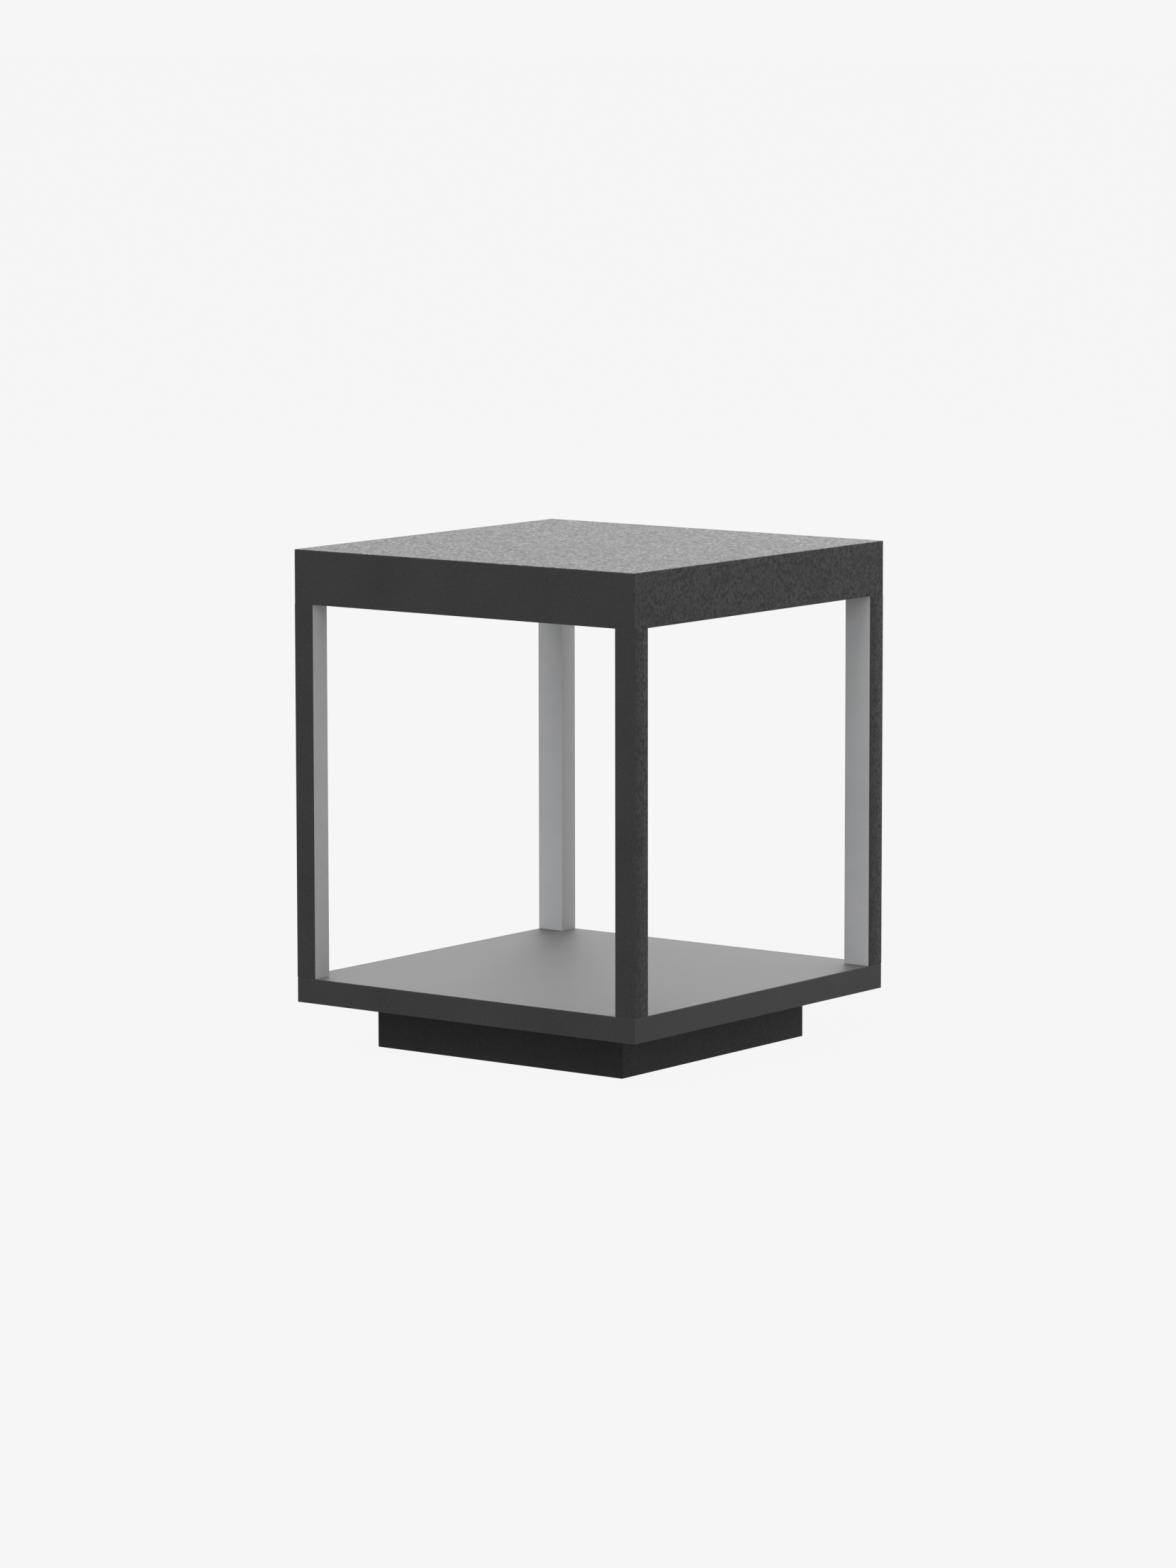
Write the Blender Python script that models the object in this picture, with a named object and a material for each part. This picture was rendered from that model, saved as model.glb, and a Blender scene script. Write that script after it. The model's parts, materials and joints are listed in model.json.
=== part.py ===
"""Square open-frame garden lantern, rechargeable.

A shallow square head holds a downward LED panel, four slim corner posts carry
it above a flat base plate, and a smaller recessed plinth holds the battery.
Metres, +Z up, origin at the centre of the footprint. The front faces -Y.
"""
import math

import bmesh
import bpy
from mathutils import Vector

MM = 0.001

# ---- driving dimensions ------------------------------------------------------
WIDTH = 250 * MM            # head and base plate, both square
HEIGHT = 300 * MM
HEAD_HEIGHT = 32.3 * MM
PLATE_HEIGHT = 14.8 * MM
PLINTH_WIDTH = 182 * MM
PLINTH_TOP = 29.2 * MM      # underside of the base plate
FOOT_PROUD = 0.8 * MM       # rubber feet below the plinth
POST_DEPTH = 13.4 * MM      # along Y, all four posts
FRONT_POST_WIDTH = 13.5 * MM  # along X
REAR_POST_WIDTH = 18 * MM   # along X, wider for the cable channel

GAP = 0.3 * MM              # between pieces that rest on each other
PIN_CLEARANCE = 0.08 * MM   # radial, hinge pin in its bores
EDGE_RADIUS = 0.5 * MM      # outer metal edges
CORNER_STEPS = 2
OVERCUT = 1 * MM            # how far a cutter or a joined piece runs past a face
SCREW_SEGMENTS = 12
ROUND_SEGMENTS = 16

HALF = WIDTH / 2
PLATE_TOP = PLINTH_TOP + PLATE_HEIGHT
HEAD_BASE = HEIGHT - HEAD_HEIGHT

# ---- sheet and wall thicknesses ----------------------------------------------
HEAD_WALL = 2.0 * MM
HEAD_FRAME_THICK = 3.0 * MM
TRAY_WALL = 2.5 * MM
UNDERPLATE_THICK = 2.0 * MM
UNDERPLATE_BOSS = 4.0 * MM
PLINTH_WALL = 2.5 * MM
COVER_THICK = 2.5 * MM
LEDGE_WIDTH = 6 * MM        # inside the plinth, the bottom cover screws up to it
LEDGE_THICK = 2.5 * MM
SEAL_THICK = 1.5 * MM
SKIN_THICK = 1.3 * MM       # dark outer angle of each post
SKIN_LAND = 0.3 * MM        # its narrow visible edge

# ---- light panel in the head -------------------------------------------------
LIGHT_OPENING = 170 * MM
LIGHT_CORNER = 3 * MM
DIFFUSER_WIDTH = 180 * MM
DIFFUSER_THICK = 3.0 * MM
GASKET_THICK = 1.0 * MM
REFLECTOR_WIDTH = 160 * MM
REFLECTOR_WALL = 2.0 * MM
BOARD_WIDTH = 176 * MM
BOARD_THICK = 1.6 * MM
LED_GRID = 4
LED_PITCH = 34 * MM
LED_SIZE = 5.0 * MM
LED_HEIGHT = 0.9 * MM
LED_PLUG = (6.0 * MM, 6.0 * MM, 4.0 * MM)
SPREADER_THICK = 3.0 * MM

# ---- screw places (each is mirrored to four) ---------------------------------
HEAD_SCREW_AT = (106 * MM, 80 * MM)
TRAY_SCREW_AT = (108 * MM, 80 * MM)
PLINTH_SCREW_AT = (70 * MM, 70 * MM)
COVER_SCREW_AT = (78 * MM, 40 * MM)
FOOT_AT = (74 * MM, 74 * MM)
BOARD_PILLAR_AT = ((35 * MM, 50 * MM), (35 * MM, 76 * MM))

M4 = {"shank": 2.0 * MM, "head": 3.4 * MM, "head_height": 2.4 * MM, "hex": 1.3 * MM}
M3 = {"shank": 1.5 * MM, "head": 2.9 * MM, "head_height": 1.5 * MM, "hex": 1.0 * MM}
COUNTERBORE = M3["head_height"] + 0.2 * MM
HEAD_SCREW_LENGTH = 12 * MM
TRAY_SCREW_LENGTH = 8 * MM
PLINTH_SCREW_LENGTH = 8 * MM
COVER_SCREW_LENGTH = 12 * MM
POST_SCREW_LENGTH = 15 * MM
HEX_SHARE = 0.5             # depth of the hexagon in the screw's head
BLIND_EXTRA = 2 * MM        # how much deeper a blind hole is than its screw
BOSS_RADIUS = 4.5 * MM
PILLAR_RADIUS = 4.0 * MM
BOARD_PILLAR_RADIUS = 3.0 * MM

# ---- post section, measured inwards from the outer corner --------------------
POST_AXIS_DEPTH = 7.3 * MM
FRONT_SCREW_IN = 7.3 * MM
REAR_SCREW_IN = 6.2 * MM
REAR_CABLE_IN = 13.3 * MM
CABLE_BORE = 2.4 * MM

# ---- service side of the plinth (+Y wall) ------------------------------------
SERVICE_Z = 16.8 * MM       # height of the button and of the charging socket
BUTTON_X = -22 * MM
BUTTON_RADIUS = 5.6 * MM
BUTTON_PROUD = 1.6 * MM
BUTTON_TRAVEL = 1.2 * MM
PORT_X = 22 * MM
PORT_HOLE = (12.0 * MM, 6.8 * MM)
BUTTON_CLEARANCE = 0.4 * MM
BUTTON_STEM = (1.5 * MM, 5.0 * MM)    # radius, reach behind the wall
BUTTON_COLLAR = (7.2 * MM, 1.8 * MM)  # radius, thickness
BUTTON_DISH = 0.5 * MM
FLAP_WIDTH = 20.8 * MM
FLAP_PIVOT_Z = 23.0 * MM
FLAP_PIVOT_OUT = 1.9 * MM   # pivot axis outside the plinth wall
FLAP_LENGTH = 11.6 * MM
FLAP_THICK = 1.4 * MM
FLAP_BARREL = 1.6 * MM
FLAP_PIN = 0.7 * MM
FLAP_GRIP = (10.0 * MM, 1.6 * MM, 0.9 * MM)   # width, height, how far it stands proud
FLAP_PLUG_DEPTH = 1.8 * MM
FLAP_PLUG_FIT = 0.7 * MM    # round the plug in its hole
LUG_WIDTH = 2.0 * MM
LUG_MARGIN = 1.7 * MM       # from the pivot to the lug's edges

# ---- feet and grommet --------------------------------------------------------
FOOT_RADIUS = 6.0 * MM
FOOT_THICK = 1.2 * MM
GROMMET_BORE = 2.4 * MM
GROMMET_NECK = 3.9 * MM
GROMMET_FLANGE = 5.6 * MM
GROMMET_FLANGE_THICK = 0.9 * MM
CABLE_EXIT = 5.0 * MM       # radius of the underplate's hole round the grommet

# ---- control board, its parts as (width, depth, height), and their places ----
CONTROL_BOARD_Z = 13.3 * MM
CONTROL_BOARD = (84 * MM, 39 * MM)
CONTROL_BOARD_Y = 63.5 * MM
CABLE_PLUG = (8 * MM, 6 * MM, 5.0 * MM)
CONTROL_CHIP = (10 * MM, 10 * MM, 1.2 * MM)
CONTROL_CHIP_AT = (-23 * MM, 63 * MM)
COIL = (8 * MM, 8 * MM, 4 * MM)
COIL_AT = (20 * MM, 58 * MM)
SOCKET = (9.0 * MM, 8.0 * MM, 3.2 * MM)
SOCKET_WALL = 0.4 * MM
SOCKET_CORNER = 0.3 * MM
SOCKET_DEPTH = 6.5 * MM
SWITCH = (7.0 * MM, 4.0 * MM, 5.2 * MM)
SWITCH_TIP = (1.4 * MM, 1.5 * MM)     # radius, reach

# ---- battery and cable -------------------------------------------------------
BATTERY_Y = -25 * MM
HOLDER = (69.4 * MM, 41.4 * MM)
HOLDER_WALL = 1.5 * MM
HOLDER_LIP = 12 * MM        # height of its rim above the ground
CELL_RADIUS = 9.1 * MM
CELL_LENGTH = 65 * MM
CELL_PITCH = 19.2 * MM
CELL_CAP = (3.0 * MM, 1.2 * MM)       # radius, height of the plus end
CABLE_RADIUS = 1.5 * MM
CABLE_BEND = 7.0 * MM
CABLE_OVER_FLOOR = 6.2 * MM # height of its run above the plate's underside
LEAD_RADIUS = 1.1 * MM
LEAD_BEND = 3.5 * MM
LEAD_Z = 20 * MM
LEAD_X = -14 * MM
LEAD_OUT = 14 * MM          # its straight run from the holder
LEAD_BACK = 20 * MM         # from the board's edge to its side bend
LEAD_OVER = 6 * MM          # from the board's edge to its end
CABLE_START = Vector((0.0, 60 * MM, 20.2 * MM))
LED_CONNECTOR_AT = (84 * MM, 84 * MM)

POSTS = {
    "front_left": (-1, -1, FRONT_POST_WIDTH),
    "front_right": (1, -1, FRONT_POST_WIDTH),
    "rear_right": (1, 1, REAR_POST_WIDTH),
    "rear_left": (-1, 1, REAR_POST_WIDTH),
}
FOUR_CORNERS = ((-1, -1), (1, -1), (1, 1), (-1, 1))


# ---- scene and materials -----------------------------------------------------
def clear_scene():
    for old in list(bpy.data.objects):
        bpy.data.objects.remove(old, do_unlink=True)


def material(name, colour, roughness, metallic=0.0):
    made = bpy.data.materials.new(name)
    made.use_nodes = True
    shader = made.node_tree.nodes["Principled BSDF"]
    shader.inputs["Base Color"].default_value = (*colour, 1.0)
    shader.inputs["Roughness"].default_value = roughness
    shader.inputs["Metallic"].default_value = metallic
    return made


# ---- solids from stacked rings -----------------------------------------------
def square_ring(half_x, half_y, z, radius=0.0, centre=(0.0, 0.0)):
    """A rectangle, with an arc of CORNER_STEPS at each corner if it has a radius."""
    steps = CORNER_STEPS if radius else 0
    points = []
    for turn, (sx, sy) in enumerate(((1, 1), (-1, 1), (-1, -1), (1, -1))):
        for step in range(steps + 1):
            angle = math.radians(90) * (turn + step / max(steps, 1))
            points.append(Vector((
                centre[0] + sx * (half_x - radius) + radius * math.cos(angle),
                centre[1] + sy * (half_y - radius) + radius * math.sin(angle),
                z)))
    return points


def circle_ring(radius, z, centre=(0.0, 0.0), segments=ROUND_SEGMENTS):
    steps = [2 * math.pi * i / segments for i in range(segments)]
    return [Vector((centre[0] + radius * math.cos(a), centre[1] + radius * math.sin(a), z))
            for a in steps]


def hexagon_ring(flat_radius, z, centre, segments=SCREW_SEGMENTS):
    """A hexagon with as many points as the round rings it joins."""
    points = []
    for i in range(segments):
        angle = 2 * math.pi * i / segments
        to_flat = (angle % math.radians(60)) - math.radians(30)
        radius = flat_radius / math.cos(to_flat)
        points.append(Vector((centre[0] + radius * math.cos(angle),
                              centre[1] + radius * math.sin(angle), z)))
    return points


def ring_solid(name, rings, made_of, closed=False):
    """Bridges the rings in order; closed joins the last to the first, else both are capped."""
    shape = bmesh.new()
    loops = [[shape.verts.new(point) for point in ring] for ring in rings]
    pairs = list(zip(loops, loops[1:]))
    if closed:
        pairs.append((loops[-1], loops[0]))
    else:
        shape.faces.new(reversed(loops[0]))
        shape.faces.new(loops[-1])
    for low, high in pairs:
        for i in range(len(low)):
            j = (i + 1) % len(low)
            shape.faces.new((low[i], low[j], high[j], high[i]))
    return finish_mesh(name, shape, made_of)


def finish_mesh(name, shape, made_of):
    bmesh.ops.recalc_face_normals(shape, faces=shape.faces)
    mesh = bpy.data.meshes.new(name)
    shape.to_mesh(mesh)
    shape.free()
    mesh.shade_smooth()
    mesh.set_sharp_from_angle(angle=math.radians(40))
    mesh.materials.append(made_of)
    body = bpy.data.objects.new(name, mesh)
    bpy.context.scene.collection.objects.link(body)
    return body


def block(name, low, high, made_of, radius=0.0):
    half_x = (high[0] - low[0]) / 2
    half_y = (high[1] - low[1]) / 2
    centre = ((high[0] + low[0]) / 2, (high[1] + low[1]) / 2)
    rings = [square_ring(half_x, half_y, z, radius, centre) for z in (low[2], high[2])]
    return ring_solid(name, rings, made_of)


def component(size, place, face, up=1):
    """A block on a board's face, sunk half the board's thickness into it to be joined."""
    half_x, half_y = size[0] / 2, size[1] / 2
    low, high = sorted((face - up * BOARD_THICK / 2, face + up * size[2]))
    return block("component", (place[0] - half_x, place[1] - half_y, low),
                 (place[0] + half_x, place[1] + half_y, high), None)


def disc(name, radius, z_low, z_high, centre, made_of, segments=ROUND_SEGMENTS):
    rings = [circle_ring(radius, z, centre, segments) for z in (z_low, z_high)]
    return ring_solid(name, rings, made_of)


def turned_to(body, axis, centre):
    """Stands a piece that was made along +Z along X or Y instead, at centre."""
    turn = {"x": ((0, 0, 1), (1, 0, 0), (0, 1, 0)),
            "y": ((1, 0, 0), (0, 0, 1), (0, -1, 0))}[axis]
    for vert in body.data.vertices:
        vert.co = Vector([sum(turn[row][k] * vert.co[k] for k in range(3))
                          for row in range(3)]) + Vector(centre)
    return body


def prism(name, outline, z_low, z_high, made_of):
    rings = [[Vector((x, y, z)) for x, y in outline] for z in (z_low, z_high)]
    return ring_solid(name, rings, made_of)


def shaped(body, operation, tools):
    """Cuts or joins the tools into the body, and removes them."""
    for tool in tools:
        change = body.modifiers.new("shape", "BOOLEAN")
        change.operation = operation
        change.solver = "EXACT"
        change.object = tool
        bpy.context.view_layer.update()
        graph = bpy.context.evaluated_depsgraph_get()
        mesh = bpy.data.meshes.new_from_object(body.evaluated_get(graph))
        mesh.name = body.name
        body.modifiers.clear()
        body.data = mesh
        bpy.data.objects.remove(tool, do_unlink=True)
    body.data.shade_smooth()
    body.data.set_sharp_from_angle(angle=math.radians(40))
    return body


def cut(body, *tools):
    return shaped(body, "DIFFERENCE", tools)


def joined(body, *tools):
    return shaped(body, "UNION", tools)


def mirrored(place):
    return [(sx * place[0], sy * place[1]) for sx, sy in FOUR_CORNERS]


def holes(radius, z_low, z_high, places, segments=SCREW_SEGMENTS):
    return [disc("hole", radius, z_low, z_high, place, None, segments) for place in places]


def soft_edge(half, z, height_sign, radius=EDGE_RADIUS):
    """Rings that round an outer edge over, from the side face to the flat one."""
    rings = []
    for step in range(CORNER_STEPS + 1):
        angle = math.radians(90) * step / CORNER_STEPS
        inset = radius * (1 - math.cos(angle))
        level = z + height_sign * radius * (math.sin(angle) - 1)
        rings.append(square_ring(half - inset, half - inset, level, radius - 0.5 * inset))
    return rings


# ---- screws ------------------------------------------------------------------
def screw(name, place, seat_z, length, size, made_of, up=1):
    """Socket-head screw: shank from seat_z towards up, head on the other side."""
    top = seat_z - up * size["head_height"]
    rings = [
        circle_ring(size["shank"], seat_z + up * length, place, SCREW_SEGMENTS),
        circle_ring(size["shank"], seat_z, place, SCREW_SEGMENTS),
        circle_ring(size["head"], seat_z, place, SCREW_SEGMENTS),
        circle_ring(size["head"], top, place, SCREW_SEGMENTS),
        hexagon_ring(size["hex"], top, place),
        hexagon_ring(size["hex"], top + up * size["head_height"] * HEX_SHARE, place),
    ]
    return ring_solid(name, rings, made_of)


def screw_set(stem, places, seat_z, length, size, made_of, up=1):
    for number, place in enumerate(places, start=1):
        screw(f"{stem}_{number}", place, seat_z, length, size, made_of, up)


def post_screw_places():
    places = []
    for sx, sy, width in POSTS.values():
        inwards = FRONT_SCREW_IN if width == FRONT_POST_WIDTH else REAR_SCREW_IN
        places.append((sx * (HALF - inwards), sy * (HALF - POST_AXIS_DEPTH)))
    return places


def cable_channel(side):
    return (side * (HALF - REAR_CABLE_IN), HALF - POST_AXIS_DEPTH)


# ---- head --------------------------------------------------------------------
def make_head(coat, steel):
    inner = HALF - HEAD_WALL
    rings = [square_ring(inner, inner, HEIGHT - HEAD_WALL, EDGE_RADIUS),
             square_ring(inner, inner, HEAD_BASE, EDGE_RADIUS),
             square_ring(HALF, HALF, HEAD_BASE, EDGE_RADIUS)]
    rings += soft_edge(HALF, HEIGHT, 1)
    cover = ring_solid("head_cover", rings, coat)
    frame_top = HEAD_BASE + HEAD_FRAME_THICK
    bosses = mirrored(HEAD_SCREW_AT)
    joined(cover, *holes(BOSS_RADIUS, frame_top + GAP, HEIGHT - HEAD_WALL / 2, bosses))
    screw_end = HEAD_BASE + COUNTERBORE + HEAD_SCREW_LENGTH
    cut(cover, *holes(M3["shank"] + GAP, HEAD_BASE, screw_end + BLIND_EXTRA, bosses))

    edge = inner - GAP
    frame = block("head_frame", (-edge, -edge, HEAD_BASE), (edge, edge, frame_top), coat)
    half_light = LIGHT_OPENING / 2
    low, high = HEAD_BASE - OVERCUT, frame_top + OVERCUT
    cut(frame, block("hole", (-half_light, -half_light, low), (half_light, half_light, high),
                     None, LIGHT_CORNER))
    cut(frame, *holes(M3["shank"] + GAP, low, high, bosses))
    cut(frame, *holes(M3["head"] + GAP, low, HEAD_BASE + COUNTERBORE, bosses))
    cut(frame, *holes(M4["shank"] + GAP, low, high, post_screw_places()))
    cut(frame, *holes(CABLE_BORE, low, high, [cable_channel(-1), cable_channel(1)]))
    screw_set("head_screw", bosses, HEAD_BASE + COUNTERBORE - GAP, HEAD_SCREW_LENGTH, M3, steel)


def square_tube(name, outer, wall, z_low, z_high, made_of, radius=0.0):
    rings = [square_ring(outer, outer, z_low, radius), square_ring(outer, outer, z_high, radius),
             square_ring(outer - wall, outer - wall, z_high, radius),
             square_ring(outer - wall, outer - wall, z_low, radius)]
    return ring_solid(name, rings, made_of, closed=True)


def make_light_panel(rubber, opal, white, board_green, aluminium):
    level = HEAD_BASE + HEAD_FRAME_THICK + GAP
    lip = (DIFFUSER_WIDTH - LIGHT_OPENING) / 2
    square_tube("diffuser_gasket", DIFFUSER_WIDTH / 2, lip, level, level + GASKET_THICK, rubber)
    level += GASKET_THICK + GAP
    half = DIFFUSER_WIDTH / 2
    block("diffuser", (-half, -half, level), (half, half, level + DIFFUSER_THICK), opal)
    level += DIFFUSER_THICK + GAP

    spreader_top = HEIGHT - HEAD_WALL - GAP
    board_top = spreader_top - SPREADER_THICK - GAP
    board_low = board_top - BOARD_THICK
    square_tube("reflector_frame", REFLECTOR_WIDTH / 2, REFLECTOR_WALL, level, board_low - GAP, white)
    half = BOARD_WIDTH / 2
    block("heat_spreader", (-half, -half, spreader_top - SPREADER_THICK),
          (half, half, spreader_top), aluminium)
    board = block("led_board", (-half, -half, board_low), (half, half, board_top), board_green)
    first = -(LED_GRID - 1) / 2 * LED_PITCH
    chips = []
    for row in range(LED_GRID):
        for column in range(LED_GRID):
            x = first + column * LED_PITCH
            y = first + row * LED_PITCH
            chips.append(block("chip", (x - LED_SIZE / 2, y - LED_SIZE / 2, board_low - LED_HEIGHT),
                               (x + LED_SIZE / 2, y + LED_SIZE / 2, board_low + BOARD_THICK / 2),
                               None))
    chips.append(component(LED_PLUG, (-LED_CONNECTOR_AT[0], LED_CONNECTOR_AT[1]), board_low, -1))
    joined(board, *chips)
    return board_low


# ---- posts -------------------------------------------------------------------
def post_outlines(width, depth):
    """Skin and core outlines, measured inwards from the outer corner of the post."""
    slant = GAP * math.sqrt(2)
    inner = SKIN_THICK + GAP
    skin = [(0, 0), (width, 0), (width, SKIN_LAND),
            (width - SKIN_THICK + SKIN_LAND, SKIN_THICK), (SKIN_THICK, SKIN_THICK),
            (SKIN_THICK, depth - SKIN_THICK + SKIN_LAND), (SKIN_LAND, depth), (0, depth)]
    shoulder = inner - SKIN_LAND - slant
    core = [(inner, inner), (width - shoulder, inner), (width, SKIN_LAND + slant),
            (width, depth), (SKIN_LAND + slant, depth), (inner, depth - shoulder)]
    return skin, core


def make_posts(coat, grey):
    z_low = PLATE_TOP + GAP
    z_high = HEAD_BASE - GAP
    screws = dict(zip(POSTS, post_screw_places()))
    for name, (sx, sy, width) in POSTS.items():
        skin, core = post_outlines(width, POST_DEPTH)
        placed = [[(sx * (HALF - u), sy * (HALF - v)) for u, v in line] for line in (skin, core)]
        prism(f"post_skin_{name}", placed[0], z_low, z_high, coat)
        bar = prism(f"post_core_{name}", placed[1], z_low, z_high, grey)
        ends = ((z_low - OVERCUT, z_low + POST_SCREW_LENGTH),
                (z_high - POST_SCREW_LENGTH, z_high + OVERCUT))
        for low, high in ends:
            cut(bar, *holes(M4["shank"] + GAP, low, high, [screws[name]]))
        if width == REAR_POST_WIDTH:
            cut(bar, *holes(CABLE_BORE, z_low - OVERCUT, z_high + OVERCUT, [cable_channel(sx)]))


# ---- base plate --------------------------------------------------------------
def make_base_plate(coat, smooth_coat, steel):
    inner = HALF - TRAY_WALL
    ceiling = PLATE_TOP - TRAY_WALL
    rings = [square_ring(inner, inner, ceiling, EDGE_RADIUS),
             square_ring(inner, inner, PLINTH_TOP, EDGE_RADIUS),
             square_ring(HALF, HALF, PLINTH_TOP, EDGE_RADIUS)]
    rings += soft_edge(HALF, PLATE_TOP, 1)
    tray = ring_solid("base_tray", rings, smooth_coat)
    bosses = mirrored(TRAY_SCREW_AT)
    under_top = PLINTH_TOP + UNDERPLATE_THICK
    joined(tray, *holes(BOSS_RADIUS, under_top + GAP, PLATE_TOP - TRAY_WALL / 2, bosses))
    cut(tray, *holes(M3["shank"] + GAP, PLINTH_TOP, PLATE_TOP - TRAY_WALL / 2, bosses))
    cut(tray, *holes(M4["shank"] + GAP, PLINTH_TOP, PLATE_TOP + OVERCUT, post_screw_places()))
    cut(tray, *holes(CABLE_BORE, PLINTH_TOP, PLATE_TOP + OVERCUT, [cable_channel(-1)]))

    edge = inner - GAP
    under = block("base_underplate", (-edge, -edge, PLINTH_TOP), (edge, edge, under_top), coat)
    plinth_bosses = mirrored(PLINTH_SCREW_AT)
    low, high = PLINTH_TOP - OVERCUT, under_top + OVERCUT
    boss_top = under_top + UNDERPLATE_BOSS
    joined(under, *holes(BOSS_RADIUS, under_top - UNDERPLATE_THICK / 2, boss_top, plinth_bosses))
    cut(under, *holes(M4["shank"] + GAP, low, boss_top + OVERCUT, plinth_bosses))
    cut(under, *holes(M3["shank"] + GAP, low, high, bosses))
    cut(under, *holes(CABLE_EXIT, low, high, [CABLE_START.xy]))
    screw_set("tray_screw", bosses, PLINTH_TOP - GAP, TRAY_SCREW_LENGTH, M3, steel)
    places = post_screw_places()
    screw_set("post_foot_screw", places, ceiling - GAP, POST_SCREW_LENGTH, M4, steel)
    screw_set("post_head_screw", places, HEAD_BASE + HEAD_FRAME_THICK + GAP, POST_SCREW_LENGTH,
              M4, steel, up=-1)


# ---- plinth ------------------------------------------------------------------
def make_plinth(plastic, rubber, steel):
    half = PLINTH_WIDTH / 2
    inner = half - PLINTH_WALL
    ledge = inner - LEDGE_WIDTH
    top = PLINTH_TOP - GAP
    ceiling = top - PLINTH_WALL
    cover_top = FOOT_PROUD + COVER_THICK
    ledge_low = cover_top + GAP + SEAL_THICK + GAP
    ledge_high = ledge_low + LEDGE_THICK
    steps = ((inner, ceiling), (inner, ledge_high), (ledge, ledge_high), (ledge, ledge_low),
             (inner, ledge_low), (inner, FOOT_PROUD), (half, FOOT_PROUD))
    rings = [square_ring(size, size, z, EDGE_RADIUS) for size, z in steps]
    rings += soft_edge(half, top, 1)
    housing = ring_solid("plinth_housing", rings, plastic)
    pillars = mirrored(COVER_SCREW_AT)
    board_pillars = [(sx * x, y) for x, y in BOARD_PILLAR_AT for sx in (-1, 1)]
    board_top = CONTROL_BOARD_Z + BOARD_THICK
    joined(housing, *holes(PILLAR_RADIUS, ledge_low, ceiling + OVERCUT, pillars))
    joined(housing, *holes(BOARD_PILLAR_RADIUS, board_top + GAP, ceiling + OVERCUT, board_pillars))
    screw_end = FOOT_PROUD + COUNTERBORE + COVER_SCREW_LENGTH
    low, high = ceiling - OVERCUT, top + OVERCUT
    cut(housing, *holes(M3["shank"] + GAP, ledge_low - OVERCUT, screw_end + BLIND_EXTRA, pillars))
    cut(housing, *holes(M4["shank"] + GAP, low, high, mirrored(PLINTH_SCREW_AT)))
    cut(housing, *holes(GROMMET_NECK + GAP, low, high, [CABLE_START.xy]))
    add_service_side(housing, half)

    edge = inner - GAP
    cover = block("bottom_cover", (-edge, -edge, FOOT_PROUD), (edge, edge, cover_top), plastic)
    low, high = FOOT_PROUD - OVERCUT, cover_top + OVERCUT
    cut(cover, *holes(M3["shank"] + GAP, low, high, pillars))
    cut(cover, *holes(M3["head"] + GAP, low, FOOT_PROUD + COUNTERBORE, pillars))
    cut(cover, *holes(FOOT_RADIUS + GAP, low, FOOT_THICK + GAP, mirrored(FOOT_AT)))
    square_tube("bottom_gasket", edge, edge - ledge, cover_top + GAP, ledge_low - GAP, rubber)
    screw_set("cover_screw", pillars, FOOT_PROUD + COUNTERBORE - GAP, COVER_SCREW_LENGTH, M3, steel)
    screw_set("plinth_screw", mirrored(PLINTH_SCREW_AT), ceiling - GAP, PLINTH_SCREW_LENGTH,
              M4, steel)
    for number, place in enumerate(mirrored(FOOT_AT), start=1):
        disc(f"foot_{number}", FOOT_RADIUS, 0, FOOT_THICK, place, rubber)

    flange_top = ceiling - GAP
    flange_low = flange_top - GROMMET_FLANGE_THICK
    bead = [circle_ring(radius, z, CABLE_START.xy) for radius, z in (
        (GROMMET_BORE, flange_low), (GROMMET_FLANGE, flange_low), (GROMMET_FLANGE, flange_top),
        (GROMMET_NECK, flange_top), (GROMMET_NECK, top), (GROMMET_BORE, top))]
    ring_solid("cable_grommet", bead, rubber, closed=True)


def add_service_side(housing, wall):
    """Button hole, charging hole and the two hinge lugs of its flap."""
    reach = PLINTH_WALL + OVERCUT
    hole = disc("hole", BUTTON_RADIUS + BUTTON_CLEARANCE, -reach, reach, (0, 0), None)
    half_x, half_z = (size / 2 for size in PORT_HOLE)
    port = block("hole", (PORT_X - half_x, wall - reach, SERVICE_Z - half_z),
                 (PORT_X + half_x, wall + reach, SERVICE_Z + half_z), None)
    for side in (-1, 1):
        x = PORT_X + side * (FLAP_WIDTH / 2 + GAP + LUG_WIDTH / 2)
        lug = block("lug", (x - LUG_WIDTH / 2, wall - PLINTH_WALL / 2, FLAP_PIVOT_Z - LUG_MARGIN),
                    (x + LUG_WIDTH / 2, wall + FLAP_PIVOT_OUT + LUG_MARGIN, FLAP_PIVOT_Z + LUG_MARGIN),
                    None)
        joined(housing, lug)
    reach = FLAP_WIDTH / 2 + GAP + LUG_WIDTH + OVERCUT
    bore = disc("hole", FLAP_PIN + PIN_CLEARANCE, -reach, reach, (0, 0), None)
    turned_to(bore, "x", (PORT_X, wall + FLAP_PIVOT_OUT, FLAP_PIVOT_Z))
    cut(housing, turned_to(hole, "y", (BUTTON_X, wall, SERVICE_Z)), port, bore)


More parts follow.
